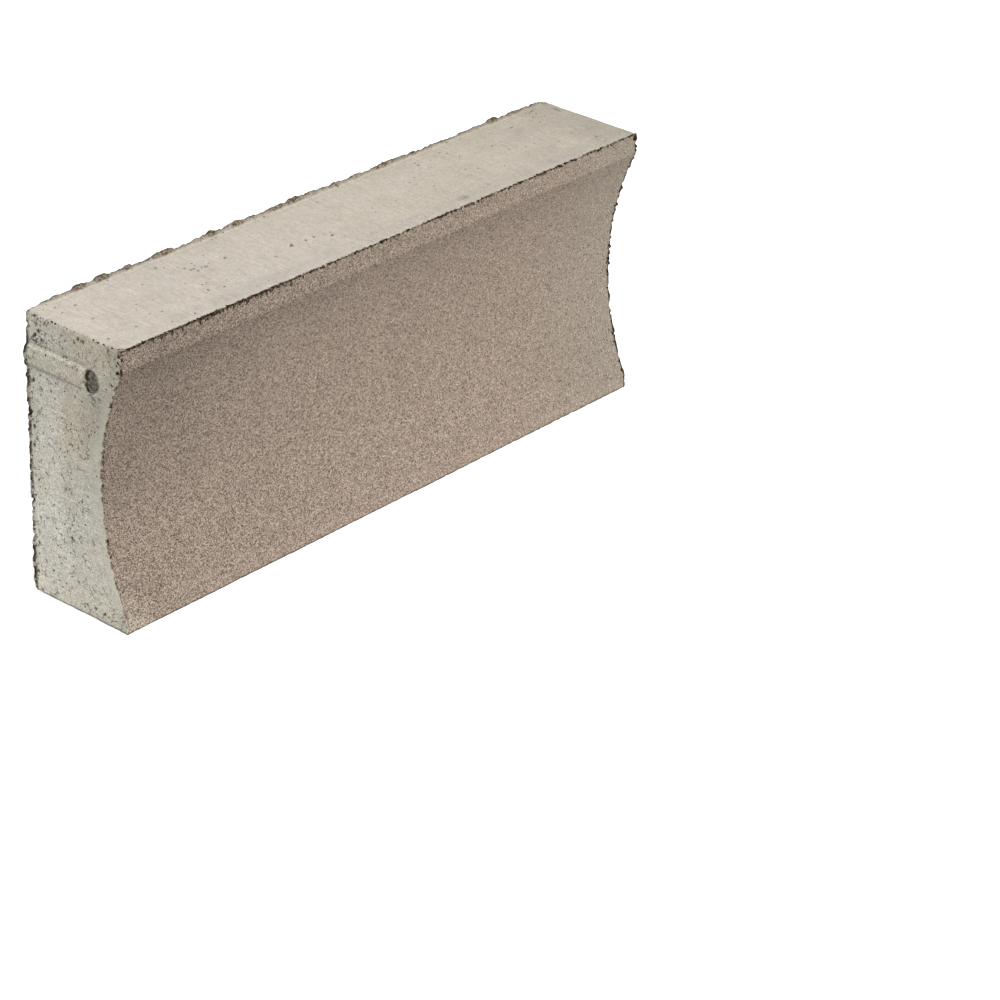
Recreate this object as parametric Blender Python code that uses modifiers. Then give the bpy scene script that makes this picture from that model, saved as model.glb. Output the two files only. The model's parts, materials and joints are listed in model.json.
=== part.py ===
"""Concrete edger: a pressed concrete edging block with a scooped front, standing on its long narrow side.

Run with: blender --background --python part.py
Metres, +Z up. X runs along the block, -Y is the scooped front, +Y is the flat back that was cast on the
pallet, and the origin is the middle of the footprint. The block is two layers of concrete pressed into one:
a coarse backing with a spacer nib moulded on each end, and a thin fine-grained facing that follows the scoop.
"""

import math

import bmesh
import bpy
from mathutils import Matrix

# Driving dimensions, in metres
LENGTH = 0.500  # end face to end face, without the spacer nibs
HEIGHT = 0.200
THICKNESS = 0.086  # back face to front lips
TOP_LIP = 0.016  # flat strip of the front above the scoop
BOTTOM_LIP = 0.010  # flat strip of the front below the scoop
SCOOP_DEPTH = 0.020  # how far the scoop goes in behind the lips
FACING_THICKNESS = 0.008  # measured front to back
BOND_GAP = 0.0003  # kept between the two layers
ARRIS = 0.0015  # rounding of the outer edges
NIB_HEIGHT = 0.015  # width of the half-round spacer nib across its face
NIB_PROUD = 0.0025  # how far a nib stands out of its end face
NIB_OFFSET = 0.0295  # nib's middle from the nearest long face
NIB_FULL_TO = -0.0145  # Y where the nib's straight stretch meets its ball end

# Derived dimensions
FRONT = -THICKNESS / 2
BACK = THICKNESS / 2
SCOOP_MIDDLE = (HEIGHT - TOP_LIP + BOTTOM_LIP) / 2
SCOOP_HALF_CHORD = HEIGHT - TOP_LIP - SCOOP_MIDDLE
SCOOP_RADIUS = (SCOOP_HALF_CHORD**2 + SCOOP_DEPTH**2) / (2 * SCOOP_DEPTH)
NIB_RADIUS = ((NIB_HEIGHT / 2) ** 2 + NIB_PROUD**2) / (2 * NIB_PROUD)

# Resolution and helpers' margins
SCOOP_STEPS = 24
NIB_SIDES = 72
ARRIS_STEPS = 2
ARRIS_ANGLE = math.radians(40)  # sharper edges than this are rounded, which leaves out the scoop's rims
SMOOTH_ANGLE = math.radians(20)
WELD = 1e-6
MARGIN = 0.010  # how far a cutter reaches past the block

BACKING_COLOUR = (0.50, 0.47, 0.40, 1)
FACING_COLOUR = (0.30, 0.23, 0.18, 1)


def clear_scene():
    for obj in list(bpy.data.objects):
        bpy.data.objects.remove(obj, do_unlink=True)


def new_collection(name, hidden=False):
    collection = bpy.data.collections.new(name)
    collection.hide_render = hidden
    bpy.context.scene.collection.children.link(collection)
    return collection


def concrete(name, colour, roughness):
    material = bpy.data.materials.new(name)
    material.use_nodes = True
    shader = material.node_tree.nodes["Principled BSDF"]
    shader.inputs["Base Color"].default_value = colour
    shader.inputs["Roughness"].default_value = roughness
    shader.inputs["Metallic"].default_value = 0
    material.diffuse_color = colour
    return material


def front_profile(shift=0.0, overrun=0.0):
    """(y, z) points of the front from bottom to top: a lip, the scoop's arc and a lip, moved back by shift."""
    edge = FRONT + shift
    half_angle = math.asin(SCOOP_HALF_CHORD / SCOOP_RADIUS)
    centre = edge + SCOOP_DEPTH - SCOOP_RADIUS
    points = [(edge, -overrun)]
    for step in range(SCOOP_STEPS + 1):
        angle = half_angle * (2 * step / SCOOP_STEPS - 1)
        y = centre + SCOOP_RADIUS * math.cos(angle)
        points.append((y, SCOOP_MIDDLE + SCOOP_RADIUS * math.sin(angle)))
    points.append((edge, HEIGHT + overrun))
    return points


def prism(name, outline, length, collection):
    """A mesh object made by extruding a (y, z) outline along X, both ways from the middle."""
    curve = bpy.data.curves.new(name, "CURVE")
    curve.dimensions = "2D"
    curve.fill_mode = "BOTH"
    curve.extrude = length / 2
    spline = curve.splines.new("POLY")
    spline.points.add(len(outline) - 1)
    for point, (y, z) in zip(spline.points, outline):
        point.co = (y, z, 0, 1)
    spline.use_cyclic_u = True
    guide = bpy.data.objects.new(name + "_outline", curve)
    # The curve's own X, Y and Z become the block's Y, Z and X.
    guide.matrix_world = Matrix(((0, 0, 1, 0), (1, 0, 0, 0), (0, 1, 0, 0), (0, 0, 0, 1)))
    collection.objects.link(guide)
    bpy.context.view_layer.update()
    evaluated = guide.evaluated_get(bpy.context.evaluated_depsgraph_get())
    mesh = bpy.data.meshes.new_from_object(evaluated)
    mesh.name = name
    mesh.transform(guide.matrix_world)
    bpy.data.objects.remove(guide, do_unlink=True)
    cleaned = bmesh.new()
    cleaned.from_mesh(mesh)
    bmesh.ops.remove_doubles(cleaned, verts=cleaned.verts, dist=WELD)
    bmesh.ops.dissolve_limit(cleaned, angle_limit=math.radians(0.5), verts=cleaned.verts, edges=cleaned.edges)
    bmesh.ops.recalc_face_normals(cleaned, faces=cleaned.faces)
    cleaned.to_mesh(mesh)
    cleaned.free()
    obj = bpy.data.objects.new(name, mesh)
    collection.objects.link(obj)
    return obj


def make_helper(obj):
    obj.hide_render = True
    obj.display_type = "WIRE"
    return obj


def round_arrises(obj):
    bevel = obj.modifiers.new("arrises", "BEVEL")
    bevel.width = ARRIS
    bevel.segments = ARRIS_STEPS
    bevel.limit_method = "ANGLE"
    bevel.angle_limit = ARRIS_ANGLE


def boolean(obj, operation, operand, name):
    modifier = obj.modifiers.new(name, "BOOLEAN")
    modifier.operation = operation
    modifier.solver = "EXACT"
    modifier.object = operand


def nib(name, side, z, collection):
    """A half-round rib from the back towards the front of one end, with a ball end. side is -1 or 1."""
    centre_x = side * (LENGTH / 2 + NIB_PROUD - NIB_RADIUS)
    poles_along_y = Matrix.Rotation(math.radians(90), 4, "X")
    shape = bmesh.new()
    bmesh.ops.create_uvsphere(
        shape,
        u_segments=NIB_SIDES,
        v_segments=NIB_SIDES // 2,
        radius=NIB_RADIUS,
        matrix=Matrix.Translation((centre_x, NIB_FULL_TO, z)) @ poles_along_y,
    )
    # The ball's front half stays, and its rim is drawn out to the back.
    behind = [vert for vert in shape.verts if vert.co.y > NIB_FULL_TO + WELD]
    bmesh.ops.delete(shape, geom=behind, context="VERTS")
    rim = [edge for edge in shape.edges if edge.is_boundary]
    drawn = bmesh.ops.extrude_edge_only(shape, edges=rim)["geom"]
    far_verts = [item for item in drawn if isinstance(item, bmesh.types.BMVert)]
    far_edges = [item for item in drawn if isinstance(item, bmesh.types.BMEdge) and item.is_boundary]
    bmesh.ops.translate(shape, verts=far_verts, vec=(0, BACK - ARRIS - NIB_FULL_TO, 0))
    bmesh.ops.edgeloop_fill(shape, edges=far_edges)
    bmesh.ops.recalc_face_normals(shape, faces=shape.faces)
    mesh = bpy.data.meshes.new(name)
    shape.to_mesh(mesh)
    shape.free()
    obj = bpy.data.objects.new(name, mesh)
    collection.objects.link(obj)
    return make_helper(obj)


def block(name, collection):
    outline = front_profile() + [(BACK, HEIGHT), (BACK, 0)]
    obj = prism(name, outline, LENGTH, collection)
    round_arrises(obj)
    return obj


def finish(obj, material):
    obj.data.materials.append(material)
    obj.data.shade_smooth()
    obj.data.set_sharp_from_angle(angle=SMOOTH_ANGLE)


def backing_body(parts, helpers):
    obj = block("backing_body", parts)
    boolean(obj, "UNION", nib("left_nib", -1, HEIGHT - NIB_OFFSET, helpers), "left_nib")
    boolean(obj, "UNION", nib("right_nib", 1, NIB_OFFSET, helpers), "right_nib")
    bond = front_profile(FACING_THICKNESS + BOND_GAP / 2, MARGIN)
    ahead = bond + [(FRONT - MARGIN, HEIGHT + MARGIN), (FRONT - MARGIN, -MARGIN)]
    cutter = make_helper(prism("ahead_of_bond", ahead, LENGTH + 2 * MARGIN, helpers))
    boolean(obj, "DIFFERENCE", cutter, "facing_space")
    finish(obj, concrete("backing_concrete", BACKING_COLOUR, 0.9))


def facing_layer(parts, helpers):
    obj = block("facing_layer", parts)
    bond = front_profile(FACING_THICKNESS - BOND_GAP / 2, MARGIN)
    behind = bond + [(BACK + MARGIN, HEIGHT + MARGIN), (BACK + MARGIN, -MARGIN)]
    cutter = make_helper(prism("behind_bond", behind, LENGTH + 2 * MARGIN, helpers))
    boolean(obj, "DIFFERENCE", cutter, "backing_space")
    finish(obj, concrete("facing_concrete", FACING_COLOUR, 0.95))


def main():
    clear_scene()
    parts = new_collection("concrete_edger")
    helpers = new_collection("cutters", hidden=True)
    backing_body(parts, helpers)
    facing_layer(parts, helpers)


main()
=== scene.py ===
"""Looks of the concrete edger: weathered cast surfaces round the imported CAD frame, a pale floor
and soft light.

The block is concrete pressed in two layers, and each is one closed mesh, with the scoop, nibs,
pits, broken arrises and ragged back rim as real shape. The front, top and ends are fine grids, and
the back and the backing's underside are looser triangles. Both layers take their skin from one
rule, cast(), so they meet without a step. Lengths are in metres, in the row frame: X along the
block, +Y its back, +Z up.
"""

import itertools
import json
import math
from types import SimpleNamespace

import bpy
import numpy as np
from mathutils import Matrix, Vector, geometry

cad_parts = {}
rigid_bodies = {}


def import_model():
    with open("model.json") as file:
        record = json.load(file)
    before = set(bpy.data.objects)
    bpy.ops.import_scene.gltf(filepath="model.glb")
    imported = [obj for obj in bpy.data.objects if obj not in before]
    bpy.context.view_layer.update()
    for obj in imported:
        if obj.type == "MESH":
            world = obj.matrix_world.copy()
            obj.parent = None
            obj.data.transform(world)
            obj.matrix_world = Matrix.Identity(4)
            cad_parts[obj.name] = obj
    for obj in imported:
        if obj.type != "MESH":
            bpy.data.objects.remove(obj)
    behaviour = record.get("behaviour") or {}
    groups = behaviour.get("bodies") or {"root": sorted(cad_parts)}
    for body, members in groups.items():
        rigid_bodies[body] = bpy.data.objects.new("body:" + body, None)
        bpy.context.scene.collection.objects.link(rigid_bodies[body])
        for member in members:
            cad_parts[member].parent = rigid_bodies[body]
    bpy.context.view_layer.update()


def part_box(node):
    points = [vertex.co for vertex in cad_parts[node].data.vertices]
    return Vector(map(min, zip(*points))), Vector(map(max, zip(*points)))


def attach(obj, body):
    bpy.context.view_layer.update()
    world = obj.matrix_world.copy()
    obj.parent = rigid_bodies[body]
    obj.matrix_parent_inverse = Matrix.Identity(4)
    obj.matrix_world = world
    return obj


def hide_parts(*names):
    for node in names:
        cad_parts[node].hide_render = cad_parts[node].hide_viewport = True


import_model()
MM = 0.001

# ---------------------------------------------------------------- sizes, from the frame
facing_low, facing_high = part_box("facing_layer")
backing_low, backing_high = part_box("backing_body")

BOND_GAP = 0.3 * MM  # between the two CAD solids
FACING = 8 * MM  # thickness of the facing
TOP_LIP = 16 * MM  # flat strip of the front above the scoop
BOTTOM_LIP = 10 * MM
HALF_LENGTH = facing_high[0]
FRONT = facing_low[1]
BACK = backing_high[1]
HEIGHT = backing_high[2]
SCOOP_DEPTH = facing_high[1] - FRONT - FACING + BOND_GAP / 2
SCOOP_MIDDLE = (HEIGHT - TOP_LIP + BOTTOM_LIP) / 2
SCOOP_HALF_CHORD = HEIGHT - TOP_LIP - SCOOP_MIDDLE
SCOOP_RADIUS = (SCOOP_HALF_CHORD**2 + SCOOP_DEPTH**2) / (2 * SCOOP_DEPTH)
NIB_PROUD = backing_high[0] - HALF_LENGTH
NIB_HEIGHT = 15 * MM
NIB_OFFSET = 29.5 * MM  # nib's middle from the nearest long face
NIB_FULL_TO = -14.5 * MM  # Y where the nib's straight stretch meets its ball end

HALF = np.array([HALF_LENGTH, (BACK - FRONT) / 2, HEIGHT / 2])
MIDDLE = np.array([0.0, (BACK + FRONT) / 2, HEIGHT / 2])

# X of the block's ends, Y of its front and Z of its top in millimetres, for the spots' places
LEFT, RIGHT, FACE, TOP = -250, 250, -43, 200


# ---------------------------------------------------------------- noise
# The factors and shifts that scramble a cell's numbers and its seed
HASH_AXES = (374761393, 668265263, 2147483647)
HASH_SEED, HASH_START, HASH_MIX = 1013904223, 12345, 1274126177
HASH_SHIFTS = (13, 17, 16)
HASH_DROPPED, HASH_MASK = 20, 0xFFFFFF  # the low bits left out, and the 24 bits kept


def hashed(cell, seed):
    """A repeatable number from -1 to 1 for each whole-numbered cell."""
    mixed = np.full(len(cell), seed * HASH_SEED + HASH_START, np.uint64)
    for axis, factor in enumerate(HASH_AXES):
        mixed += cell[:, axis].astype(np.uint64) * np.uint64(factor)
    for shift in HASH_SHIFTS:
        mixed ^= mixed >> np.uint64(shift)
        mixed *= np.uint64(HASH_MIX)
    kept = mixed >> np.uint64(HASH_DROPPED) & np.uint64(HASH_MASK)
    return kept.astype(float) / (HASH_MASK // 2) - 1


def noise(points, size, seed):
    """Smooth noise from -1 to 1. size is a cell's length, or its lengths along X, Y and Z, and seed
    picks the pattern."""
    grid = points / np.asarray(size, float)
    cell = np.floor(grid).astype(np.int64)
    part = grid - cell
    part = part * part * (3 - 2 * part)
    total = np.zeros(len(points))
    for corner in itertools.product((0, 1), repeat=3):
        weight = np.prod(np.where(corner, part, 1 - part), axis=1)
        total += weight * hashed(cell + np.array(corner), seed)
    return total


def rough(points, size, seed, octaves=3):
    """Noise with finer and weaker copies of itself added."""
    size = np.asarray(size, float)
    return sum(noise(points, size / 2**o, seed + o) / 2**o for o in range(octaves))


def ramp(value, start, stop):
    """0 at start, 1 at stop, smooth between. start may be the larger."""
    t = np.clip((value - start) / (stop - start), 0, 1)
    return t * t * (3 - 2 * t)


def spot(at, place, radius):
    """1 at a place, falling to 0 round it, both in millimetres. radius is one length or three."""
    away = np.linalg.norm((at / MM - np.array(place)) / np.asarray(radius, float), axis=1)
    return ramp(away, 1, 0.35)


def spots(at, table):
    """The sum of a table's spots: each one's place, radius and strength."""
    return sum(strength * spot(at, place, radius) for place, radius, strength in table)


# ---------------------------------------------------------------- shape of the block
SCOOP_RIM = 0.7 * MM  # how far the scoop's rims are softened


def scoop(z):
    """How far the front lies behind its lips at height z."""
    across = np.clip(np.abs(z - SCOOP_MIDDLE), 0, SCOOP_RADIUS)
    arc = np.sqrt(SCOOP_RADIUS**2 - across**2) - (SCOOP_RADIUS - SCOOP_DEPTH)
    return (arc + np.sqrt(arc**2 + SCOOP_RIM**2)) / 2


def bond(x, z):
    """Y of the uneven boundary between the layers, before the scoop is put in."""
    at = np.stack([x, np.zeros_like(x), z], axis=1)
    drift = 1.2 * MM * (0.5 - z / HEIGHT)
    waves = 0.9 * MM * noise(at, 11 * MM, 3) + 0.5 * MM * noise(at, 3.5 * MM, 4)
    return FRONT + FACING + drift + waves


def rounded(p):
    """Rounds the arrises of the plain box, measured from its middle: worn where the top meets the
    ends, tight elsewhere. Gives points and normals."""
    near_end = ramp(HALF[0] - np.abs(p[:, 0]), 12 * MM, 3 * MM)
    worn = near_end * ramp(HALF[2] - p[:, 2], 12 * MM, 3 * MM)
    radius = (0.8 * MM + 1.6 * MM * worn)[:, None]
    core = np.clip(p, -(HALF - radius), HALF - radius)
    out = p - core
    normal = out / np.maximum(np.linalg.norm(out, axis=1), 1e-9)[:, None]
    return core + radius * normal, normal


def nib(y, z, centre):
    """How far a nib and its ball end stand out of their end face, and how far each point is from
    its middle line, in halves of its height."""
    across = np.hypot(z - centre, np.clip(NIB_FULL_TO - y, 0, None)) / (NIB_HEIGHT / 2)
    return NIB_PROUD * np.sqrt(np.clip(1 - across**2, 0, 1)), across


def rag(at, level, seed):
    """How far the ragged rim left by the pallet stands out, along an edge, about level."""
    broad = 0.55 * noise(at, 30 * MM, seed) + 0.35 * noise(at, 9 * MM, seed + 1)
    crumbs = noise(at, 3 * MM, seed + 2) * 0.55 * MM
    grit = noise(at, 1.3 * MM, seed + 3) * 0.45 * MM
    return np.clip(level * (1 + broad) + crumbs + grit, 0, None)


RIM_CLUMPS = (  # along the back's top edge: X, half the length and extra height, in millimetres
    (-205, 9, 1.2),
    (-187, 8, 1.5),
    (-164, 5, 1.2),
    (-133, 12, 2.2),
    (-88, 6, 1.3),
    (-66, 10, 1.0),
    (-27, 8, 0.9),
    (-12, 9, 1.3),
    (30, 5, 0.8),
    (48, 5, 0.6),
    (72, 9, 0.8),
    (86, 22, 0.5),
    (108, 4, 0.8),
    (190, 7, 1.6),
    (212, 8, 0.6),
)


def rim_clumps(x):
    """Extra height of the rim's clumps, along the back's top edge."""
    along = np.stack([x, np.zeros_like(x), np.zeros_like(x)], axis=1)
    table = [((middle, 0, 0), half, height * MM) for middle, half, height in RIM_CLUMPS]
    return spots(along, table)


PIT_SEED = 7
TOP_CLUSTERS = (  # groups of blowholes on the top: X and Y, in millimetres
    (-236, 30),
    (-222, 32),
    (-132, 14),
    (-126, 10),
    (-58, -6),
    (-40, -4),
    (-22, -10),
    (98, 28),
    (228, 34),
)


def hollows():
    """Blowholes, honeycomb and knocked-out grains, as (centre, radius), before the scoop is put
    in."""
    rng = np.random.default_rng(PIT_SEED)
    left, right = -HALF_LENGTH, HALF_LENGTH
    found = []

    def scatter(count, low, high, smallest, largest):
        low, high = np.array(low), np.array(high)
        for _ in range(count):
            radius = smallest + (largest - smallest) * rng.random() ** 2.5
            found.append((low + (high - low) * rng.random(3), radius))

    def cluster(count, x, y, spread):
        for _ in range(count):
            offset = np.array([rng.normal() * spread, rng.normal() * spread / 2, 0])
            radius = (0.5 + 0.7 * rng.random() ** 2) * MM
            found.append((np.array([x, y, HEIGHT]) + offset, radius))

    for end in (left, right):
        # High up at the back, high up in front, over the rest, along the back arris
        scatter(26, (end, 24 * MM, 178 * MM), (end, 43 * MM, 199 * MM), 0.6 * MM, 1.3 * MM)
        scatter(12, (end, -30 * MM, 180 * MM), (end, 20 * MM, 198 * MM), 0.6 * MM, 1.2 * MM)
        scatter(34, (end, -24 * MM, 4 * MM), (end, 42 * MM, 155 * MM), 0.5 * MM, 1.4 * MM)
        scatter(20, (end, 37 * MM, 10 * MM), (end, 43 * MM, 155 * MM), 0.7 * MM, 1.6 * MM)
        # A grain out of the front arris
        found.append((np.array([end, FRONT, 61 * MM]), 1.8 * MM))
    # The top, the back and the underside
    for x, y in TOP_CLUSTERS:
        cluster(4, x * MM, y * MM, 6 * MM)
    scatter(50, (left, -36 * MM, HEIGHT), (right, 42 * MM, HEIGHT), 0.4 * MM, 1.0 * MM)
    scatter(150, (left, BACK, 2 * MM), (right, BACK, 198 * MM), 1.5 * MM, 3.4 * MM)
    scatter(90, (left, -36 * MM, 0), (right, 42 * MM, 0), 0.5 * MM, 1.8 * MM)
    return found


HOLLOWS = hollows()


def hollow_depth(at):
    """Depth of the pits at each point."""
    depth = np.zeros(len(at))
    wander = 1 + 0.35 * noise(at, 1.6 * MM, 61)
    for centre, radius in HOLLOWS:
        near = np.flatnonzero(np.abs(at - centre).max(axis=1) < 2 * radius)
        away = np.linalg.norm(at[near] - centre, axis=1) * wander[near] / radius
        depth[near] = np.maximum(depth[near], np.sqrt(np.clip(1 - away**2, 0, 1)) * radius)
    return depth


def upper_part(at):
    """0 in the lower half of the block, 1 in its top quarter."""
    return ramp(at[:, 2], 0.50 * HEIGHT, 0.75 * HEIGHT)


def nib_painted_light(at):
    """Painted highlight along the top of a nib and painted shade along its foot, as if lit from
    above, with painted light rising across it and a darker band just above it.
    """
    above = at[:, 2] - (HEIGHT - NIB_OFFSET)
    above = np.where(at[:, 0] < 0, above, at[:, 2] - NIB_OFFSET) / (NIB_HEIGHT / 2)
    along = ramp(at[:, 1], NIB_FULL_TO, NIB_FULL_TO + 3 * MM)
    # Painted highlight on the crest, painted light on the body, painted shade at the foot; groove
    # darkens a band just above the nib
    crest = ramp(above, 0.70, 0.90) * ramp(above, 1.16, 1.02)
    body = ramp(above, -0.9, 0.9) * ramp(above, 1.05, 0.9)
    foot = ramp(above, -0.55, -0.95) * ramp(above, -1.30, -1.02)
    groove = ramp(above, 1.08, 1.22) * ramp(above, 1.70, 1.36)
    return along * (0.32 * crest + 0.06 * body - 0.28 * foot - 0.12 * groove)


# Stains: each one's place and radius in millimetres, and how much brighter it is
FRONT_STAINS = (
    ((LEFT, FACE, 0), (34, 20, 32), 0.13),
    ((LEFT, FACE, 194), (30, 20, 12), 0.10),
    ((60, FACE, 70), (6, 30, 5), 0.12),
    ((-243, FACE, 0), (26, 20, 9), 0.25),
)
END_STAINS = (
    ((LEFT, -25, 144), (30, 18, 34), -0.18),
    ((LEFT, -10.5, 84.2), (5, 8, 1.5), -0.16),
    ((LEFT, 38, 126), (30, 9, 24), -0.12),
    ((LEFT, -40, 2), (10, 14, 24), -0.12),
)
TOP_STAINS = (
    ((75, -33, TOP), (9, 4, 9), -0.22),
    ((243, 26, TOP), (2.5, 6, 6), -0.30),
)


def front_tones(at, patches):
    """Painted light: brighter towards the foot, as from the floor's bounce, and towards the right,
    as from a light on that side; duller high on the left; painted shade in a band and a dark line
    under the upper lip, where the scoop's top faces down; and painted light on the flat lips."""
    x, _, z = at.T
    below_lip = HEIGHT - TOP_LIP - z
    # Painted light: brighter towards the foot and towards the right
    tone = 1.005 + 0.24 * x - 1.12 * (z - HEIGHT / 2) + patches + spots(at, FRONT_STAINS)
    tone -= 0.12 * ramp(x, -0.09, -0.22) * ramp(z, 50 * MM, 105 * MM)
    tone -= 0.05 * ramp(x, 0.10, 0.20) * ramp(z, 80 * MM, 40 * MM)
    # Painted shade under the upper lip, darkest in a line at its edge
    tone -= 0.09 * ramp(below_lip, 30 * MM, 3 * MM) * ramp(below_lip, -1.5 * MM, 0.5 * MM)
    tone -= 0.07 * ramp(np.abs(below_lip - 0.5 * MM), 1.8 * MM, 0.3 * MM)
    # Painted light on the flat lips, most on the lower one
    tone += 0.04 * ramp(below_lip, 0, -2 * MM)
    return tone + 0.08 * ramp(z, BOTTOM_LIP + 2 * MM, BOTTOM_LIP - 2 * MM)


def end_tones(at, patches):
    """Painted light: brighter low down, as from light off the floor; brighter in patches behind;
    duller towards the top of the front; with the nibs' painted highlight and shade.
    """
    _, y, z = at.T
    # Painted light: the end brightens towards its foot
    tone = 0.955 - 1.8 * (z - HEIGHT / 2) + 1.4 * patches + nib_painted_light(at) + spots(at, END_STAINS)
    tone += 0.13 * ramp(y, -2 * MM, 14 * MM) * ramp(z, 166 * MM, 152 * MM)
    tone += 0.10 * ramp(z, 178 * MM, 184 * MM) * ramp(y, 6 * MM, 18 * MM)
    tone += 0.12 * ramp(y, 26 * MM, 38 * MM) * ramp(z, 60 * MM, 30 * MM)
    near_corners = ramp(z, 140 * MM, 165 * MM) + 0.4 * ramp(z, 30 * MM, 10 * MM)
    return tone - 0.10 * ramp(y, -26 * MM, -34 * MM) * near_corners


def cool_strip(y):
    """1 along a strip of the top, just behind the front."""
    return ramp(np.abs(y + 33 * MM), 7 * MM, 3 * MM)


def top_tones(at, patches):
    """Painted light: brighter on the left, where the light falls, and darker towards the right;
    cloudy; dull along the back; and painted shade near the right end and along its arris.
    """
    x, y, _ = at.T
    # Painted light, brighter on the left and falling off towards the right
    tone = 1.08 - 0.26 * x + 0.5 * patches + 0.05 * rough(at, 17 * MM, 103, 3)
    # Painted shade near the right end, darkest on its arris
    tone -= 0.10 * ramp(x, 0.200, 0.245) + 0.42 * ramp(x, 0.2472, 0.2490)
    tone += 0.045 * ramp(x, -0.16, -0.02) * ramp(x, 0.24, 0.14)
    tone -= 0.15 * ramp(y, 35 * MM, 41 * MM) + 0.07 * cool_strip(y)
    return tone + spots(at, TOP_STAINS)


def tones(at, faces):
    """How bright the concrete is at each point: the faces' own tones and stains with their painted
    light and shade, painted shade on the rounded arris between the top and the right end, and a
    painted contact shadow along the foot.
    """
    patches = 0.025 * rough(at, 28 * MM, 101, 3)
    # Painted shade on the rounded arris between the top and the right end
    painted_far_arris_shade = 4 * faces.end * faces.top * ramp(at[:, 0], 0.1, 0.2)
    # Painted contact shadow along the foot
    foot = 0.75 * ramp(at[:, 2], 2.0 * MM, 0.8 * MM)
    others = 1 - faces.front - faces.end - faces.top
    tone = faces.front * front_tones(at, patches) + faces.end * end_tones(at, patches)
    return tone + faces.top * top_tones(at, patches) + others - 0.45 * painted_far_arris_shade - foot


def warmth(at, faces):
    """0 where the skin is bluish, 1 where it is yellowish: the top's right, and the ends' upper
    front and foot."""
    x, y, z = at.T
    on_top = 0.08 + 0.8 * ramp(x, -0.24, 0.20) - 0.45 * cool_strip(y) * ramp(x, -0.20, -0.10)
    on_end = 0.25 + 0.7 * ramp(y, 12 * MM, -6 * MM) * ramp(z, 90 * MM, 125 * MM)
    on_end += 0.25 * ramp(z, 40 * MM, 10 * MM) * ramp(y, 25 * MM, 5 * MM)
    on_end += 0.35 * ramp(z, 182 * MM, 196 * MM)
    drift = 0.30 * rough(at, 20 * MM, 121, 3)
    return np.clip(faces.end * on_end + faces.top * on_top + drift, 0, 1)


def pitting(at, faces):
    """The share of small cells that hold a pinhole."""
    patchy = ramp(noise(at, 16 * MM, 111), 0.1, 0.5)
    y, z = at[:, 1], at[:, 2]
    honeycomb = ramp(y, 12 * MM, 36 * MM) * ramp(z, 174 * MM, 184 * MM)
    honeycomb *= ramp(z, 202 * MM, 197 * MM)
    on_end = 0.015 + 0.06 * patchy + 0.34 * honeycomb + 0.20 * ramp(y, 36 * MM, 42 * MM)
    on_top = 0.006 + 0.03 * patchy * ramp(noise(at, 9 * MM, 113), 0.0, 0.4)
    on_top += 0.10 * ramp(y, 36 * MM, 41 * MM)
    on_back = 0.05 + 0.20 * patchy
    sides = faces.end * on_end + faces.top * on_top
    return sides + faces.back * on_back + faces.front * 0.08


CHIPS = (  # along the left end's front arris: Z and size, in millimetres
    (91, 2.0),
    (98, 2.2),
    (108, 4.6),
    (117, 3.0),
    (124, 2.4),
    (131, 2.0),
    (161, 2.6),
)


def face_shares(normal):
    """How much each point belongs to the front, the back, the top and the ends, and to the four
    faces cast against the mould's walls, which are all but the front and back."""
    share = normal**2
    return SimpleNamespace(
        front=np.where(normal[:, 1] < 0, share[:, 1], 0),
        back=np.where(normal[:, 1] > 0, share[:, 1], 0),
        top=np.where(normal[:, 2] > 0, share[:, 2], 0),
        end=share[:, 0],
        wall=share[:, 0] + share[:, 2],
    )


def face_grain(at, faces):
    """Height of the broad waves and of each face's own grain."""
    from_middle = np.abs(at[:, 2] - SCOOP_MIDDLE)
    lip = ramp(from_middle, SCOOP_HALF_CHORD - 2 * MM, SCOOP_HALF_CHORD + 1 * MM)
    height = 0.18 * MM * rough(at, 45 * MM, 11, 2)
    height += faces.front * (0.03 + 0.08 * lip) * MM * rough(at, 2.4 * MM, 21, 2)
    height += faces.wall * (0.04 + 0.06 * faces.end) * MM * rough(at, 2.6 * MM, 31, 2)
    height += faces.wall * 0.05 * MM * noise(at, (2.0 * MM, 22 * MM, 2.0 * MM), 35)
    return height + faces.back * 0.20 * MM * rough(at, 7 * MM, 41, 3)


def right_front(at, at_front):
    """1 along the front arris of the right end."""
    return at_front * ramp(at[:, 0], 0.245, 0.249)


def broken_depth(at, gap, at_front):
    """Depth of the grains and chips broken out of the arrises, most along the top of the front."""
    to_edge = np.sort(gap, axis=1)[:, 1]
    grains = np.clip(rough(at, 2.6 * MM, 51, 2) + 0.10, 0, None)
    flakes = np.clip(rough(at, 9 * MM, 55, 2) - 0.55, 0, None)
    right_side = right_front(at, at_front)
    weak = np.maximum(ramp(at[:, 2], 145 * MM, 185 * MM), right_side)
    weak = 0.35 + 0.65 * at_front * weak
    broken = weak * ((1.1 + 0.1 * right_side) * MM * grains + 3.0 * MM * flakes)
    for z, size in CHIPS:
        broken += 0.45 * MM * size * spot(at, (LEFT, FACE, z), (size, 1.2 * size, size))
    broken *= ramp(to_edge, 2.4 * MM, 0)
    left_corner = 0.6 * spot(at, (LEFT, FACE, TOP), 7)
    return broken + left_corner * (0.25 * MM + 0.9 * MM * grains)


def grit_height(at, gap, at_front):
    """Height of the grains that stand out along the ends' front arrises, and of the lump at the
    right one's top."""
    grit = (1.3 + 1.2 * right_front(at, at_front)) * MM
    grit *= np.clip(noise(at, 1.9 * MM, 57) - 0.05, 0, None)
    grit *= at_front * ramp(gap[:, 0], 1.5 * MM, 0) * ramp(gap[:, 1], 1.5 * MM, 0)
    return grit + 1.3 * MM * spot(at, (RIGHT, FACE, 197), 3.8)


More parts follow.
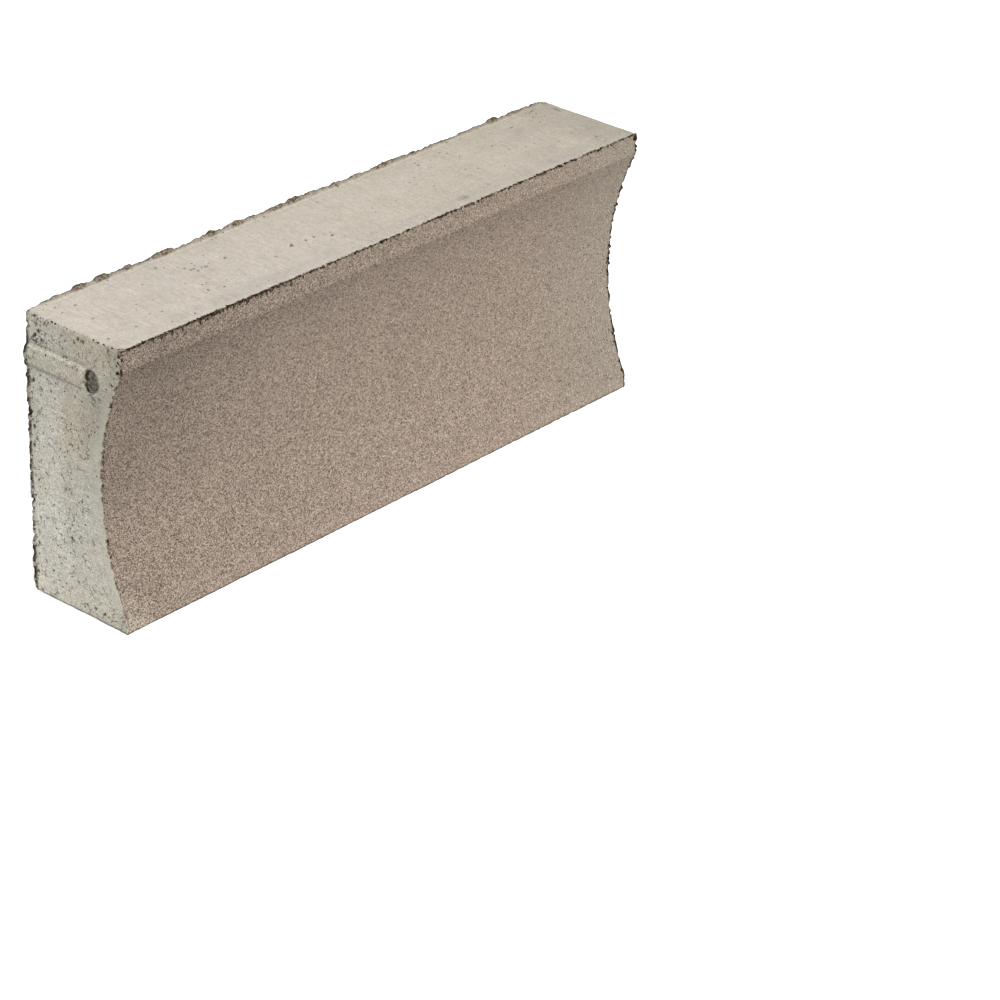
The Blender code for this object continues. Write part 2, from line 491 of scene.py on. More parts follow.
def add_nibs(final, at, normal, end):
    """Raises the nibs on the two ends, their ball ends torn rough. Gives how much of a nib and of a
    torn end is at each point, and the depth of the cracks."""
    on_nib, torn, cracks = np.zeros((3, len(at)))
    y = final[:, 1] - NIB_FULL_TO
    for side, centre in ((-1, HEIGHT - NIB_OFFSET), (1, NIB_OFFSET)):
        proud, across = nib(final[:, 1], at[:, 2], centre)
        here = np.where(normal[:, 0] * side > 0, end, 0)
        inside = ramp(across, 1.04, 0.94)
        ragged = here * ramp(across, 1.18, 1.02) * ramp(y, 1.8 * MM, 0.6 * MM)
        crack = here * inside * ramp(np.abs(y - 0.9 * MM), 2.2 * MM, 1.0 * MM)
        crack *= ramp(noise(at, 3 * MM, 73), -0.6, 0.1)
        cracks = np.maximum(cracks, 0.8 * MM * crack)
        lumps = 0.35 * MM * ragged * rough(at, 2.2 * MM, 71, 2)
        final[:, 0] += side * (here * proud + lumps)
        on_nib = np.maximum(on_nib, here * inside)
        torn = np.maximum(torn, ragged)
    return on_nib, torn, cracks


def add_rim(final, at, straight, gap, behind):
    """Raises the ragged rim where the back stood on the pallet. Gives how far it stands up."""
    x, _, z = at.T
    on_top = ramp(gap[:, 2], 3 * MM, 0) * upper_part(at) * ramp(HALF_LENGTH - x, 1 * MM, 9 * MM)
    upward = rag(at * (1, 0.3, 0.3), 2.45 * MM, 81) + rim_clumps(x)
    upward *= ramp(behind, 4.6 * MM, 0.6 * MM) * on_top
    outward = rag(at * (0.3, 0.3, 1), 1.75 * MM, 91)
    outward *= ramp(behind, 2.6 * MM, 0.4 * MM) * ramp(gap[:, 0], 3 * MM, 0)
    outward *= (0.55 + 0.45 * ramp(z, 184 * MM, 178 * MM)) * ramp(z, -2 * MM, 12 * MM)
    under = ramp(behind, 3 * MM, 0) * ramp(straight[:, 2], 3 * MM, 0)
    final[:, 2] += upward + under * 0.5 * MM * np.abs(noise(at, 3 * MM, 95))
    final[:, 0] += np.sign(x) * outward
    return upward


def arris_chain(at, gap, from_front):
    """Closeness to the arrises that hold gaps, where painted shade darkens them: along the top of
    the front, up its two sides and where the ends meet the top. Two crumbled places are added."""
    along_top = np.clip(1 - np.hypot(gap[:, 2], from_front) / (2.8 * MM), 0, 1) * upper_part(at)
    along_top *= 1 + 0.25 * ramp(at[:, 0], -0.05, -0.12)
    on_right = at[:, 0] > 0
    reach, strength = np.where(on_right, 4.5, 2.0) * MM, np.where(on_right, 1.4, 0.6)
    up_sides = np.clip(1 - np.hypot(gap[:, 0], from_front) / reach, 0, 1) * strength
    over_ends = np.clip(1 - np.hypot(gap[:, 0], gap[:, 2]) / (3 * MM), 0, 1)
    over_ends *= 0.55 * upper_part(at)
    crumbly = 0.62 * spot(at, (LEFT, FACE, 188), (4, 9, 22)) + 2 * spot(at, (248.6, FACE, 197), 4)
    return np.maximum.reduce([along_top, up_sides, over_ends, crumbly])


def arris_teeth(at, gap, front, from_front):
    """Where dark bristles run down the front from its top arris, in patches."""
    from_top = np.hypot(gap[:, 2], from_front)
    patchy = 0.6 * ramp(noise(at * (1, 0, 0), 34 * MM, 131), -0.1, 0.5)
    patchy *= ramp(at[:, 0], 0.10, -0.12)
    bristly = ramp(at[:, 0], -0.195, -0.175) * ramp(at[:, 0], -0.085, -0.105)
    teeth = front * upper_part(at) * np.maximum(patchy, bristly) * ramp(from_top, 6 * MM, 1 * MM)
    return np.clip(teeth, 0, 1)


def smooth_band(at, straight):
    """The facing's smooth skin on the ends, which spreads over the backing half way up."""
    z = at[:, 2]
    behind_bond = straight[:, 1] - bond(straight[:, 0], straight[:, 2])
    behind_bond += 0.9 * MM * noise(at, 4 * MM, 75)
    spread = 4.5 * MM * ramp(z, 84 * MM, 92 * MM) * ramp(z, 137 * MM, 130 * MM)
    band = ramp(behind_bond - spread, 0.6 * MM, -0.6 * MM) * ramp(z, 8 * MM, 26 * MM)
    return band * (1 - 0.6 * ramp(z, 150 * MM, 172 * MM))


def cast(straight):
    """The block's skin. straight holds points on the plain box, before the scoop is put in. Gives
    the final points and, for the materials, how much of each face, stain and fault is at each."""
    p, normal = rounded(straight - MIDDLE)
    at = p + MIDDLE
    gap = HALF - np.abs(straight - MIDDLE)
    faces = face_shares(normal)
    from_front = straight[:, 1] - FRONT
    behind = BACK - straight[:, 1]
    at_front = ramp(from_front, 6 * MM, 2 * MM)

    hole = hollow_depth(at)
    broken = broken_depth(at, gap, at_front)
    height = face_grain(at, faces) + grit_height(at, gap, at_front) - broken - 0.9 * hole
    final = at + normal * height[:, None]

    # The scoop pushes the front back, and the backing gives way to it evenly
    give = np.clip((BACK - at[:, 1]) / (BACK - bond(at[:, 0], at[:, 2])), 0, 1)
    final[:, 1] += scoop(at[:, 2]) * give

    on_nib, torn, cracks = add_nibs(final, at, normal, faces.end)
    upward = add_rim(final, at, straight, gap, behind)
    final[:, 2] = np.maximum(final[:, 2], 0.0)

    on_clump = ramp(rim_clumps(at[:, 0]), 0.2 * MM, 0.8 * MM)
    marks = {
        "front_face": faces.front,
        "back_face": faces.back,
        "end_face": faces.end,
        "tone": tones(at, faces),
        "contrast": 1.25 - 1.4 * at[:, 0] - 0.35 * ramp(at[:, 0], 0.12, 0.22),
        "warmth": warmth(at, faces),
        "grey": ramp(at[:, 0], 0.12, 0.25) + spot(at, (LEFT, FACE, 0), (30, 20, 20)),
        "pitting": pitting(at, faces),
        "hole": np.clip(np.maximum(hole, cracks) / ((0.8 + 1.6 * faces.back) * MM), 0, 1),
        "broken": np.clip(broken / (0.40 * MM), 0, 1),
        "chain": arris_chain(at, gap, from_front),
        "teeth": arris_teeth(at, gap, faces.front, from_front),
        "rim": ramp(upward, 0.3 * MM, 1.5 * MM) * (0.60 + 0.40 * on_clump),
        "crest": ramp(behind, 2.4 * MM, 0.6 * MM) * ramp(gap[:, 2], 3 * MM, 0) * upper_part(at),
        "scales": ramp(behind, 3.4 * MM, 1.2 * MM) * ramp(gap[:, 0], 3 * MM, 0),
        "band": smooth_band(at, straight) * faces.end,
        "nib": on_nib,
        "torn": torn,
    }
    return final, marks


def buried(straight):
    """Points of the hidden wall between the layers: only the scoop moves them."""
    final = straight.copy()
    final[:, 1] += scoop(straight[:, 2])
    return final


# ---------------------------------------------------------------- grids
STATION_SAMPLES = 4001  # places where stations() works out the step


def stations(length, coarse, fine, near, reach=4 * MM):
    """Distances from 0 to length, a step of fine apart near each of those places and of coarse
    elsewhere."""
    t = np.linspace(0, length, STATION_SAMPLES)
    away = np.abs(t[:, None] - np.array(near)).min(axis=1)
    rate = 1 / (fine + (coarse - fine) * ramp(away, reach * 0.6, reach * 1.6))
    done = np.concatenate([[0], np.cumsum((rate[1:] + rate[:-1]) / 2 * np.diff(t))])
    return np.interp(np.linspace(0, done[-1], round(done[-1]) + 1), done, t)


NIB_EDGES = (NIB_OFFSET - NIB_HEIGHT / 2, NIB_OFFSET + NIB_HEIGHT / 2)
Z_NEAR = (0, *NIB_EDGES, HEIGHT - NIB_EDGES[1], HEIGHT - NIB_EDGES[0], HEIGHT)
COARSE, FINE = 1.1 * MM, 0.5 * MM
X_COARSE = 1.26 * MM  # keeps each piece under 200,000 triangles
X_STATIONS = stations(2 * HALF_LENGTH, X_COARSE, FINE, (0, 2 * HALF_LENGTH)) - HALF_LENGTH
Z_STATIONS = stations(HEIGHT, COARSE, FINE, Z_NEAR, 2.5 * MM)

SHARP_ANGLE = math.radians(62)  # keeps the seam between the layers flat
FILL_SEED = 17

# Each side of a grid: the axis that it faces, its index along that axis, and whether its faces are
# turned over
SIDES = {
    "left": (0, 0, True),
    "right": (0, -1, False),
    "front": (1, 0, False),
    "back": (1, -1, True),
    "bottom": (2, 0, True),
    "top": (2, -1, False),
}


def filled(flat, spacing, rng):
    """Triangles that fill a flat outline, with loosely spaced points added inside it. Gives those
    points and the faces."""
    low, high = flat.min(axis=0), flat.max(axis=0)
    steps = np.maximum(((high - low) / spacing).astype(int), 2)
    lines = [np.linspace(low[a], high[a], steps[a] + 1)[1:-1] for a in range(2)]
    added = np.stack(np.meshgrid(*lines, indexing="ij"), axis=-1).reshape(-1, 2)
    added = added + (rng.random(added.shape) - 0.5) * spacing * 0.5
    points = np.concatenate([flat, added])
    outline = [(i, (i + 1) % len(flat)) for i in range(len(flat))]
    vectors = [Vector(point) for point in points]
    _, _, faces, origins, *_ = geometry.delaunay_2d_cdt(vectors, outline, [], 1, 1e-9)
    faces = np.array([group[0] for group in origins])[np.array(faces)]
    used = np.unique(faces[faces >= len(flat)])
    renumber = np.arange(len(points))
    renumber[used] = len(flat) + np.arange(len(used))
    return points[used], renumber[faces]


class Shell:
    """One closed mesh in the making, on the grid of X_STATIONS, depths and Z_STATIONS.

    at_depth(depth, x, z) gives the straight Y for a depth from 0, in front, to 1, behind.
    """

    def __init__(self, depths, at_depth, gridded):
        self.at_depth, self.depths = at_depth, depths
        shape = (len(X_STATIONS), len(depths), len(Z_STATIONS))
        index = np.indices(shape)
        at_limit = [(index[axis] == 0) | (index[axis] == shape[axis] - 1) for axis in range(3)]
        used = np.sum(at_limit, axis=0) >= 2
        for side in gridded:
            axis, end, _ = SIDES[side]
            used |= index[axis] == end % shape[axis]
        self.ids = np.full(shape, -1)
        self.ids[used] = np.arange(used.sum())
        i, j, k = (index[axis][used] for axis in range(3))
        x, z = X_STATIONS[i], Z_STATIONS[k]
        self.straight = np.stack([x, at_depth(depths[j], x, z), z], axis=1)
        self.points, self.marks = cast(self.straight)
        self.faces, self.sides = [], []
        for side in gridded:
            self.grid(side)

    def side_ids(self, side):
        axis, end, _ = SIDES[side]
        return np.take(self.ids, end, axis=axis)

    def keep(self, side, faces):
        if SIDES[side][2]:
            faces = faces[:, ::-1]
        self.faces += faces.tolist()
        self.sides += [side] * len(faces)

    def grid(self, side):
        ids = self.side_ids(side)
        corners = (ids[:-1, :-1], ids[1:, :-1], ids[1:, 1:], ids[:-1, 1:])
        self.keep(side, np.stack([corner.ravel() for corner in corners], axis=1))

    def fill(self, side, spacing, hidden=False):
        """Closes a side with triangles between its rim and points about spacing apart."""
        axis, end, _ = SIDES[side]
        ids = self.side_ids(side)
        rim = np.concatenate([ids[:-1, 0], ids[-1, :-1], ids[:0:-1, -1], ids[0, :0:-1]])
        plane = [a for a in range(3) if a != axis]
        rng = np.random.default_rng(FILL_SEED)
        added, faces = filled(self.straight[rim][:, plane], spacing, rng)
        straight = np.zeros((len(added), 3))
        straight[:, plane] = added
        if axis == 1:
            depth = np.full(len(added), self.depths[end])
            straight[:, 1] = self.at_depth(depth, added[:, 0], added[:, 1])
        else:
            straight[:, axis] = self.straight[rim[0], axis]
        if hidden:
            points = buried(straight)
            marks = {name: np.zeros(len(added)) for name in self.marks}
        else:
            points, marks = cast(straight)
        ids = np.concatenate([rim, len(self.points) + np.arange(len(added))])
        self.points = np.concatenate([self.points, points])
        self.straight = np.concatenate([self.straight, straight])
        self.marks = {name: np.concatenate([self.marks[name], marks[name]]) for name in marks}
        self.keep(side, ids[faces])

    def mesh(self, name, sheet):
        mesh = bpy.data.meshes.new(name)
        mesh.from_pydata(self.points.tolist(), [], self.faces)
        for mark, values in self.marks.items():
            attribute = mesh.attributes.new(mark, "FLOAT", "POINT")
            attribute.data.foreach_set("value", values.astype(np.float32))
        self.unwrap(mesh, sheet)
        mesh.shade_smooth()
        mesh.set_sharp_from_angle(angle=SHARP_ANGLE)
        return mesh

    def unwrap(self, mesh, sheet):
        """Lays each side flat on its own rectangle of the sheet: (left, bottom, width, height)."""
        corners = np.empty(len(mesh.loops), np.int32)
        mesh.loops.foreach_get("vertex_index", corners)
        sizes = np.array([len(face) for face in self.faces])
        of_corner = np.repeat(np.array(self.sides), sizes)
        laid = np.zeros((len(corners), 2))
        for side, (left, bottom, width, height) in sheet.items():
            plane = [a for a in range(3) if a != SIDES[side][0]]
            here = of_corner == side
            flat = self.straight[corners[here]][:, plane]
            low, high = flat.min(axis=0), flat.max(axis=0)
            laid[here] = (left, bottom) + (flat - low) / (high - low) * (width, height)
        layer = mesh.uv_layers.new(name="OFBake")
        layer.data.foreach_set("uv", laid.astype(np.float32).ravel())


HIDDEN_SPACING = 8 * MM  # of the points on the wall between the layers


def backing_mesh():
    def at_depth(depth, x, z):
        return bond(x, z) + depth * (BACK - bond(x, z))

    thickness = BACK - FRONT - FACING
    depths = stations(1, COARSE / thickness, FINE / thickness, (1,), 5 * MM / thickness)
    shell = Shell(depths, at_depth, ("left", "right", "top"))
    shell.fill("bottom", spacing=3 * MM)
    shell.fill("back", spacing=2.2 * MM)
    shell.fill("front", HIDDEN_SPACING, hidden=True)
    sheet = {
        "back": (0.01, 0.65, 0.98, 0.34),
        "top": (0.01, 0.49, 0.98, 0.15),
        "bottom": (0.01, 0.36, 0.98, 0.12),
        "left": (0.01, 0.01, 0.14, 0.34),
        "right": (0.16, 0.01, 0.14, 0.34),
        "front": (0.32, 0.01, 0.60, 0.24),
    }
    return shell.mesh("backing_concrete_mesh", sheet)


def facing_mesh():
    def at_depth(depth, x, z):
        return FRONT + depth * (bond(x, z) - FRONT)

    depths = stations(1, COARSE / FACING, 0.45 * MM / FACING, (0,), 1.6 * MM / FACING)
    shell = Shell(depths, at_depth, ("front", "left", "right", "bottom", "top"))
    shell.fill("back", HIDDEN_SPACING, hidden=True)
    sheet = {
        "front": (0.01, 0.45, 0.98, 0.54),
        "top": (0.01, 0.41, 0.98, 0.03),
        "bottom": (0.01, 0.37, 0.98, 0.03),
        "left": (0.01, 0.01, 0.03, 0.35),
        "right": (0.05, 0.01, 0.03, 0.35),
        "back": (0.10, 0.01, 0.60, 0.24),
    }
    return shell.mesh("facing_concrete_mesh", sheet)


# ---------------------------------------------------------------- materials
TOP_COOL = (0.376, 0.341, 0.298)
TOP_WARM = (0.362, 0.327, 0.270)
END_COOL = (0.326, 0.315, 0.284)
END_WARM = (0.340, 0.314, 0.250)
BAND = (0.330, 0.318, 0.266)  # the facing's smooth skin on the ends
NIB_SKIN = (0.345, 0.320, 0.262)
PALLET_GREY = (0.300, 0.270, 0.220)
SAND = (0.186, 0.148, 0.117)
SAND_GREY = (0.180, 0.154, 0.123)
# Dark sand grains, and painted shade in the front's dents
DARK_SAND_AND_SHADE = (0.065, 0.043, 0.030)
SAND_LIGHT = (0.340, 0.285, 0.235)
RIM_BROWN = (0.165, 0.130, 0.088)
UMBER = (0.062, 0.040, 0.024)
# Near black: dark crumbs, and painted shade in pits, pinholes, cracks and gaps
DIRT_AND_SHADE = (0.010, 0.007, 0.004)
SOOT = (0.085, 0.074, 0.054)


# Where a Mix node keeps its colour sockets
MIX_FACTOR, MIX_A, MIX_B, MIX_RESULT = 0, 6, 7, 2


class Surface:
    """Adds and joins the nodes of one material."""

    def __init__(self, name):
        self.material = bpy.data.materials.new(name)
        self.material.use_nodes = True
        self.nodes = self.material.node_tree.nodes
        self.links = self.material.node_tree.links
        self.principled = self.nodes["Principled BSDF"]
        self.place = self.nodes.new("ShaderNodeTexCoord").outputs["Object"]

    def put(self, value, socket):
        """Joins a socket's value, or sets it."""
        if isinstance(value, bpy.types.NodeSocket):
            self.links.new(value, socket)
        elif isinstance(value, tuple) and len(value) < len(socket.default_value):
            socket.default_value = (*value, 1.0)
        else:
            socket.default_value = value

    def math(self, operation, *values):
        node = self.nodes.new("ShaderNodeMath")
        node.operation = operation
        for value, socket in zip(values, node.inputs):
            self.put(value, socket)
        return node.outputs[0]

    def times(self, a, b):
        return self.math("MULTIPLY", a, b)

    def span(self, value, low, high, to_low=0.0, to_high=1.0):
        """Carries low..high to to_low..to_high, and holds it there beyond them."""
        node = self.nodes.new("ShaderNodeMapRange")
        node.interpolation_type = "SMOOTHSTEP"
        for socket, given in zip(node.inputs, (value, low, high, to_low, to_high)):
            self.put(given, socket)
        return node.outputs[0]

    def blend(self, factor, a, b, kind="MIX"):
        node = self.nodes.new("ShaderNodeMix")
        node.data_type = "RGBA"
        node.blend_type = kind
        self.put(factor, node.inputs[MIX_FACTOR])
        self.put(a, node.inputs[MIX_A])
        self.put(b, node.inputs[MIX_B])
        return node.outputs[MIX_RESULT]

    def tint(self, value):
        """A grey of that value."""
        node = self.nodes.new("ShaderNodeCombineColor")
        for socket in node.inputs:
            self.put(value, socket)
        return node.outputs[0]

    def scaled(self, colour, value):
        return self.blend(1.0, colour, self.tint(value), "MULTIPLY")

    def mark(self, name):
        node = self.nodes.new("ShaderNodeAttribute")
        node.attribute_name = name
        return node.outputs["Fac"]

    def stretched(self, x, y, z):
        node = self.nodes.new("ShaderNodeMapping")
        node.inputs["Scale"].default_value = (x, y, z)
        self.put(self.place, node.inputs["Vector"])
        return node.outputs[0]

    def noise(self, size, detail=2.0, place=None):
        node = self.nodes.new("ShaderNodeTexNoise")
        self.put(place or self.place, node.inputs["Vector"])
        node.inputs["Scale"].default_value = 1 / size
        node.inputs["Detail"].default_value = detail
        node.inputs["Roughness"].default_value = 0.6
        return node.outputs["Fac"]

    def grains(self, size, place=None):
        """Cells about size across: each one's own random number, and the distance to its middle in
        cells."""
        node = self.nodes.new("ShaderNodeTexVoronoi")
        self.put(place or self.place, node.inputs["Vector"])
        node.inputs["Scale"].default_value = 1 / size
        split = self.nodes.new("ShaderNodeSeparateColor")
        self.put(node.outputs["Color"], split.inputs[0])
        return split.outputs[0], node.outputs["Distance"]

    def bump(self, height, depth):
        node = self.nodes.new("ShaderNodeBump")
        node.inputs["Strength"].default_value = 1.0
        node.inputs["Distance"].default_value = depth
        self.put(height, node.inputs["Height"])
        return node.outputs[0]

    def finish(self, colour, roughness, normal=None):
        self.put(colour, self.principled.inputs["Base Color"])
        self.put(roughness, self.principled.inputs["Roughness"])
        if normal:
            self.put(normal, self.principled.inputs["Normal"])
        self.principled.inputs["Specular IOR Level"].default_value = 0.10
        return self.material


def pinholes(s, size, chance, radius, place=None):
    """1 in small round holes, in that share of cells of that size, else 0. radius is in cells."""
    random, distance = s.grains(size, place)
    chosen = s.math("LESS_THAN", random, chance)
    return s.times(chosen, s.span(distance, radius * 1.25, radius * 0.6))


def strokes(s, size, width, patch, share):
    """1 along short curved scratches, which show only where a noise of size patch is above
    share."""
    wave = s.math("ABSOLUTE", s.math("SUBTRACT", s.noise(size, 1.5), 0.5))
    shown = s.span(s.noise(patch, 1.0), share, share + 0.04)
    return s.times(s.span(wave, width, width * 0.4), shown)


def skin_colour(s, end, band):
    """The plain colour of each cast face."""
    warmth = s.mark("warmth")
    end_colour = s.blend(band, s.blend(warmth, END_COOL, END_WARM), BAND)
    colour = s.blend(end, s.blend(warmth, TOP_COOL, TOP_WARM), end_colour)
    colour = s.blend(s.times(s.mark("nib"), 0.8), colour, NIB_SKIN)
    return s.blend(s.mark("back_face"), colour, PALLET_GREY)


def combed(s, colour):
    """Drag marks across the block, cloudy laitance and dusty grains."""
    streaks = s.span(s.noise(1.8 * MM, 3.0, s.stretched(1, 0.14, 1)), 0.28, 0.72, -0.10, 0.10)
    strength = s.span(s.noise(20 * MM, 2.0), 0.38, 0.62, 0.25, 1.1)
    colour = s.scaled(colour, s.math("MULTIPLY_ADD", streaks, strength, 1.0))
    colour = s.scaled(colour, s.span(s.noise(4.5 * MM, 4.0), 0.28, 0.72, 0.955, 1.04))
    dust, _ = s.grains(0.8 * MM)
    return s.scaled(colour, s.span(dust, 0.0, 1.0, 0.91, 1.085))


def cast_skin(s):
    """Colour and bump height of a face cast against the mould, and of the back."""
    end, band = s.mark("end_face"), s.mark("band")
    colour = combed(s, skin_colour(s, end, band))
    coarse_faces = s.math("MAXIMUM", end, s.mark("back_face"))
    rough_face = s.times(coarse_faces, s.span(band, 0.0, 1.0, 1.0, 0.22))
    random, _ = s.grains(0.70 * MM)
    patches = s.span(s.noise(2.2 * MM, 4.0), 0.3, 0.7, 0.91, 1.08)
    speck = s.times(s.span(random, 0.0, 1.0, 0.76, 1.24), patches)
    colour = s.blend(rough_face, colour, s.scaled(colour, speck))
    scratch = strokes(s, 5.5 * MM, 0.028, 6 * MM, 0.54)
    scratch = s.times(scratch, s.math("ADD", s.times(rough_face, 0.55), 0.12))
    colour = s.blend(scratch, colour, UMBER)
    pitting = s.mark("pitting")
    small = pinholes(s, 2.0 * MM, pitting, 0.30)
    large = pinholes(s, 4.2 * MM, s.times(pitting, 0.5), 0.25, s.stretched(1, 1.6, 1))
    pins = s.math("MAXIMUM", small, large)
    # Painted shade in the pinholes
    colour = s.blend(s.times(pins, 0.92), colour, DIRT_AND_SHADE)
    grain = s.times(s.noise(0.7 * MM, 2.0), 0.35)
    return colour, s.math("SUBTRACT", grain, s.math("MAXIMUM", pins, scratch))


def back_rim(s, colour, random, clump, crumbs):
    """Brown crumbs on the ragged rim, painted shade along its crest, and dark scales down the
    back's sides, partly the rim's dark rough concrete and partly painted shade under it.
    """
    rim = s.times(s.mark("rim"), s.span(clump, 0.32, 0.52, 0.45, 1.0))
    rim_colour = s.scaled(RIM_BROWN, s.span(random, 0.0, 1.0, 0.30, 1.35))
    colour = s.blend(rim, colour, rim_colour)
    # Painted shade along the rim's crest
    crest = s.times(s.mark("crest"), s.span(s.noise(5 * MM, 3.0), 0.40, 0.58, 0.35, 0.90))
    colour = s.blend(crest, colour, crumbs)
    # Dark rough rim and painted shade under it, down the back's sides
    scales = s.times(s.mark("scales"), s.span(s.noise(5 * MM, 4.0), 0.42, 0.50, 0.30, 1.0))
    return s.blend(scales, colour, crumbs)


def arris_gaps(s, colour, random, crumbs):
    """A broken dark line of painted shade and dark crumbs in the arrises' gaps, beads of painted
    shade on it, and bristles down from it.
    """
    chain, teeth = s.mark("chain"), s.mark("teeth")
    broken_up = s.span(s.noise(8 * MM, 2.0), 0.38, 0.52, 0.25, 0.90)
    line = s.times(s.span(chain, 0.70, 0.92), broken_up)
    # Painted shade in the gaps along the arrises
    colour = s.blend(line, colour, crumbs)
    # Beads of painted shade on that line
    beads = s.math("MULTIPLY_ADD", chain, 0.27, s.noise(2.7 * MM, 1.5))
    beads = s.times(s.span(beads, 0.72, 0.745), s.span(chain, 0.0, 0.12))
    colour = s.blend(beads, colour, s.blend(s.span(random, 0.60, 0.95), DIRT_AND_SHADE, UMBER))
    upright = s.noise(2.2 * MM, 1.0, s.stretched(1, 1, 0.35))
    bristles = s.math("MULTIPLY_ADD", teeth, 0.22, upright)
    bristles = s.times(s.span(bristles, 0.71, 0.74), s.span(teeth, 0.0, 0.12))
    bristle_colour = s.blend(s.span(random, 0.5, 0.9), DIRT_AND_SHADE, UMBER)
    return s.blend(s.times(bristles, 0.95), colour, bristle_colour)


def worn(s, colour):
    """Tones with painted light and shade, painted shade in the pits, painted shade and dark crumbs
    in the gaps along the broken arrises, the ragged rim, and the nibs' torn ends."""
    # The tone mark holds painted light and shade beside the concrete's own tones
    colour = s.scaled(colour, s.mark("tone"))
    random, _ = s.grains(1.2 * MM)
    clump = s.noise(2.6 * MM, 3.0)
    # Dark crumbs, also used as painted shade in the arrises' gaps
    crumbs = s.blend(s.span(random, 0.35, 0.9), DIRT_AND_SHADE, UMBER)
    hole = s.mark("hole")
    # Painted shade in the pits and cracks, darker the deeper they are
    colour = s.blend(s.times(hole, 0.95), colour, s.blend(hole, UMBER, DIRT_AND_SHADE))
    # Painted shade and dark crumbs in the gaps of the broken arrises
    gaps = s.times(s.mark("broken"), s.span(random, 0.45, 0.60))
    colour = s.blend(s.times(gaps, 0.8), colour, crumbs)
    colour = back_rim(s, colour, random, clump, crumbs)
    colour = arris_gaps(s, colour, random, crumbs)
    torn = s.times(s.mark("torn"), s.span(random, 0.0, 1.0, 0.80, 1.0))
    torn_colour = s.blend(s.span(clump, 0.42, 0.60), DIRT_AND_SHADE, SOOT)
    colour = s.blend(torn, colour, s.scaled(torn_colour, s.span(random, 0.0, 1.0, 0.6, 1.5)))
    # Painted shade in the torn ends' pits and cracks
    return s.blend(s.times(s.mark("torn"), hole), colour, DIRT_AND_SHADE)


def backing_material():
    s = Surface("backing_concrete")
    colour, height = cast_skin(s)
    roughness = s.span(s.noise(5 * MM), 0.3, 0.7, 0.80, 0.95)
    return s.finish(worn(s, colour), roughness, s.bump(height, 0.25 * MM))


def facing_material():
    s = Surface("facing_concrete")
    skin, skin_height = cast_skin(s)
    random, distance = s.grains(0.58 * MM)
    swing = s.math("MULTIPLY_ADD", s.math("SUBTRACT", random, 0.5), s.mark("contrast"), 1.0)
    sand = s.scaled(s.blend(s.mark("grey"), SAND, SAND_GREY), swing)
    coarse, _ = s.grains(0.72 * MM)
    sand = s.blend(s.span(coarse, 0.08, 0.06, 0.0, 0.95), sand, DARK_SAND_AND_SHADE)
    sand = s.blend(s.span(coarse, 0.93, 0.96, 0.0, 0.85), sand, SAND_LIGHT)
    clots = s.noise(2.4 * MM, 2.0)
    sand = s.scaled(sand, s.span(clots, 0.3, 0.7, 0.98, 1.02))
    dents = pinholes(s, 2.8 * MM, s.mark("pitting"), 0.20)
    # Painted shade in the dents
    sand = s.blend(s.times(dents, 0.8), sand, DARK_SAND_AND_SHADE)
    sand_height = s.math("SUBTRACT", s.math("SUBTRACT", s.noise(0.8 * MM, 2.0), distance), dents)
    bared = s.span(s.mark("broken"), 0.15, 0.5)
    on_front = s.math("MAXIMUM", s.span(s.mark("front_face"), 0.25, 0.60), bared)
    colour = worn(s, s.blend(on_front, skin, sand))
    height = s.blend(on_front, skin_height, sand_height)
    return s.finish(colour, s.span(clots, 0.3, 0.7, 0.85, 0.97), s.bump(height, 0.16 * MM))


# ---------------------------------------------------------------- the pieces
def add_piece(name, mesh, material, node):
    piece = bpy.data.objects.new(name, mesh)
    bpy.context.scene.collection.objects.link(piece)
    mesh.materials.append(material)
    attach(piece, "root")
    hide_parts(node)


add_piece("backing", backing_mesh(), backing_material(), "backing_body")
add_piece("facing", facing_mesh(), facing_material(), "facing_layer")


# ---------------------------------------------------------------- floor, light and camera
def add_floor():
    bpy.ops.mesh.primitive_plane_add(size=40)
    floor = bpy.context.object
    floor.name = "floor"
    s = Surface("floor")
    floor.data.materials.append(s.finish((0.96, 0.96, 0.96), 0.9))
    s.principled.inputs["Emission Color"].default_value = (1.0, 1.0, 1.0, 1.0)
    s.principled.inputs["Emission Strength"].default_value = 0.25


def aimed(place, target):
    """A turn that points an object's -Z from place to target, with its Y upwards."""
    return (Vector(target) - Vector(place)).to_track_quat("-Z", "Y")


def add_light(name, place, target, size, power):
    light = bpy.data.lights.new(name, "AREA")
    light.shape = "RECTANGLE"
    light.size, light.size_y = size
    light.energy = power
    lamp = bpy.data.objects.new(name, light)
    lamp.location = place
    lamp.rotation_euler = aimed(place, target).to_euler()
    bpy.context.scene.collection.objects.link(lamp)


def add_sun(power, breadth, tilt):
    """A very broad sun, which leans out over the front by tilt degrees."""
    light = bpy.data.lights.new("overhead", "SUN")
    light.energy = power
    light.angle = math.radians(breadth)
    lamp = bpy.data.objects.new("overhead", light)
    lamp.rotation_euler = (math.radians(tilt), 0, 0)
    bpy.context.scene.collection.objects.link(lamp)


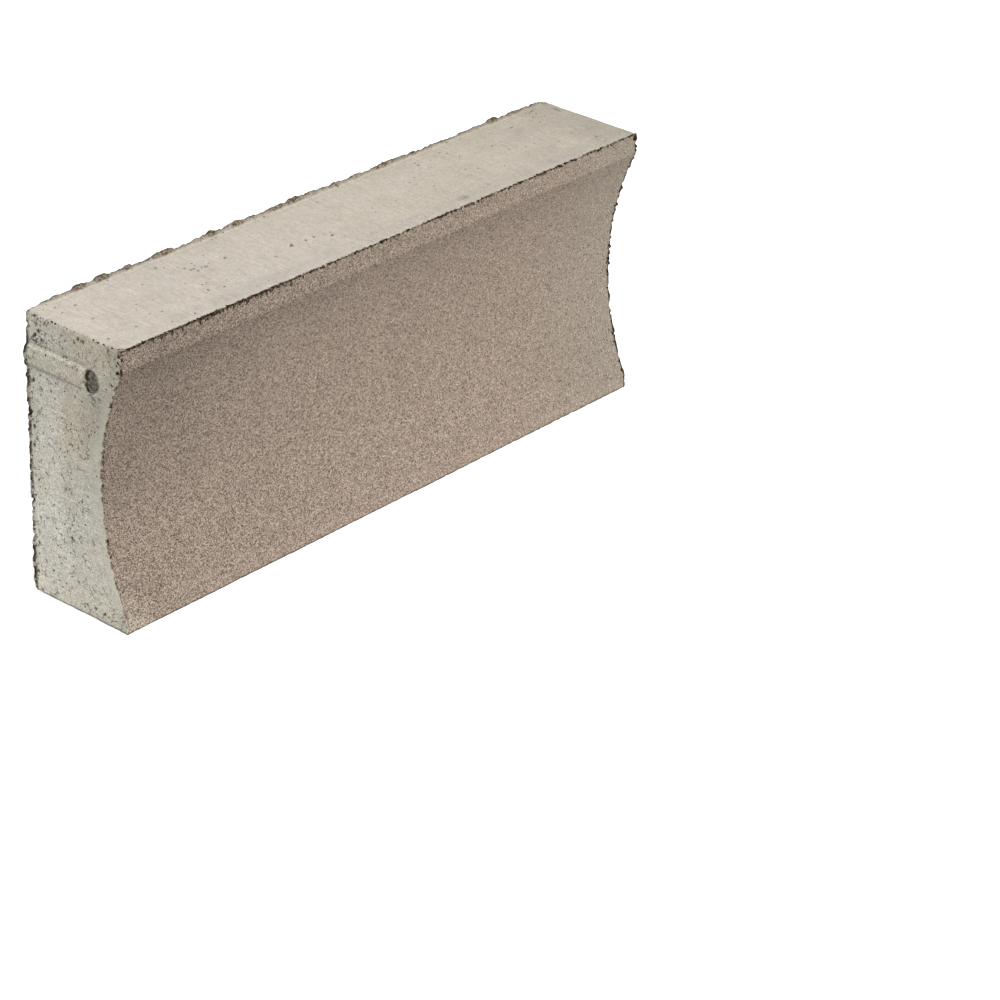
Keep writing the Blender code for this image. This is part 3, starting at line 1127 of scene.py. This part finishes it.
def add_sky(horizon, zenith):
    """Plain white light from all round, brighter low down."""
    world = bpy.data.worlds.new("studio")
    world.use_nodes = True
    nodes, links = world.node_tree.nodes, world.node_tree.links
    direction = nodes.new("ShaderNodeTexCoord")
    split = nodes.new("ShaderNodeSeparateXYZ")
    fade = nodes.new("ShaderNodeMapRange")
    fade.interpolation_type = "SMOOTHSTEP"
    for socket, value in zip(fade.inputs[1:5], (0.05, 0.45, horizon, zenith)):
        socket.default_value = value
    links.new(direction.outputs["Generated"], split.inputs[0])
    links.new(split.outputs["Z"], fade.inputs[0])
    links.new(fade.outputs[0], nodes["Background"].inputs["Strength"])
    nodes["Background"].inputs["Color"].default_value = (1.0, 1.0, 1.0, 1.0)
    bpy.context.scene.world = world


def add_camera(aim, azimuth, elevation, distance, roll, lens):
    """A camera that looks at aim, from azimuth degrees round from -Y towards +X."""
    camera = bpy.data.cameras.new("camera")
    camera.lens = lens
    camera.sensor_width = 36
    turn, rise = math.radians(azimuth), math.radians(elevation)
    flat = distance * math.cos(rise)
    offset = (math.sin(turn) * flat, -math.cos(turn) * flat, distance * math.sin(rise))
    place = Vector(aim) + Vector(offset)
    viewer = bpy.data.objects.new("camera", camera)
    viewer.matrix_world = (
        Matrix.Translation(place)
        @ aimed(place, aim).to_matrix().to_4x4()
        @ Matrix.Rotation(math.radians(roll), 4, "Z")
    )
    bpy.context.scene.collection.objects.link(viewer)
    bpy.context.scene.camera = viewer


add_floor()
add_sky(horizon=0.93, zenith=0.35)
add_sun(power=2.0, breadth=80, tilt=40)
add_light("key", (-1.0, -0.05, 1.15), (-0.1, 0, 0.15), size=(1.0, 1.0), power=9.8)
add_light("fill", (0.9, -1.1, 0.9), (0.1, 0, 0.1), size=(1.4, 1.4), power=16.6)
add_camera(  # fitted to the photograph
    aim=(0.0535, -0.0928, 0),
    azimuth=-49.882,
    elevation=28.062,
    distance=2.3935,
    roll=1.884,
    lens=125.485,
)
bpy.context.scene.view_settings.view_transform = "Standard"
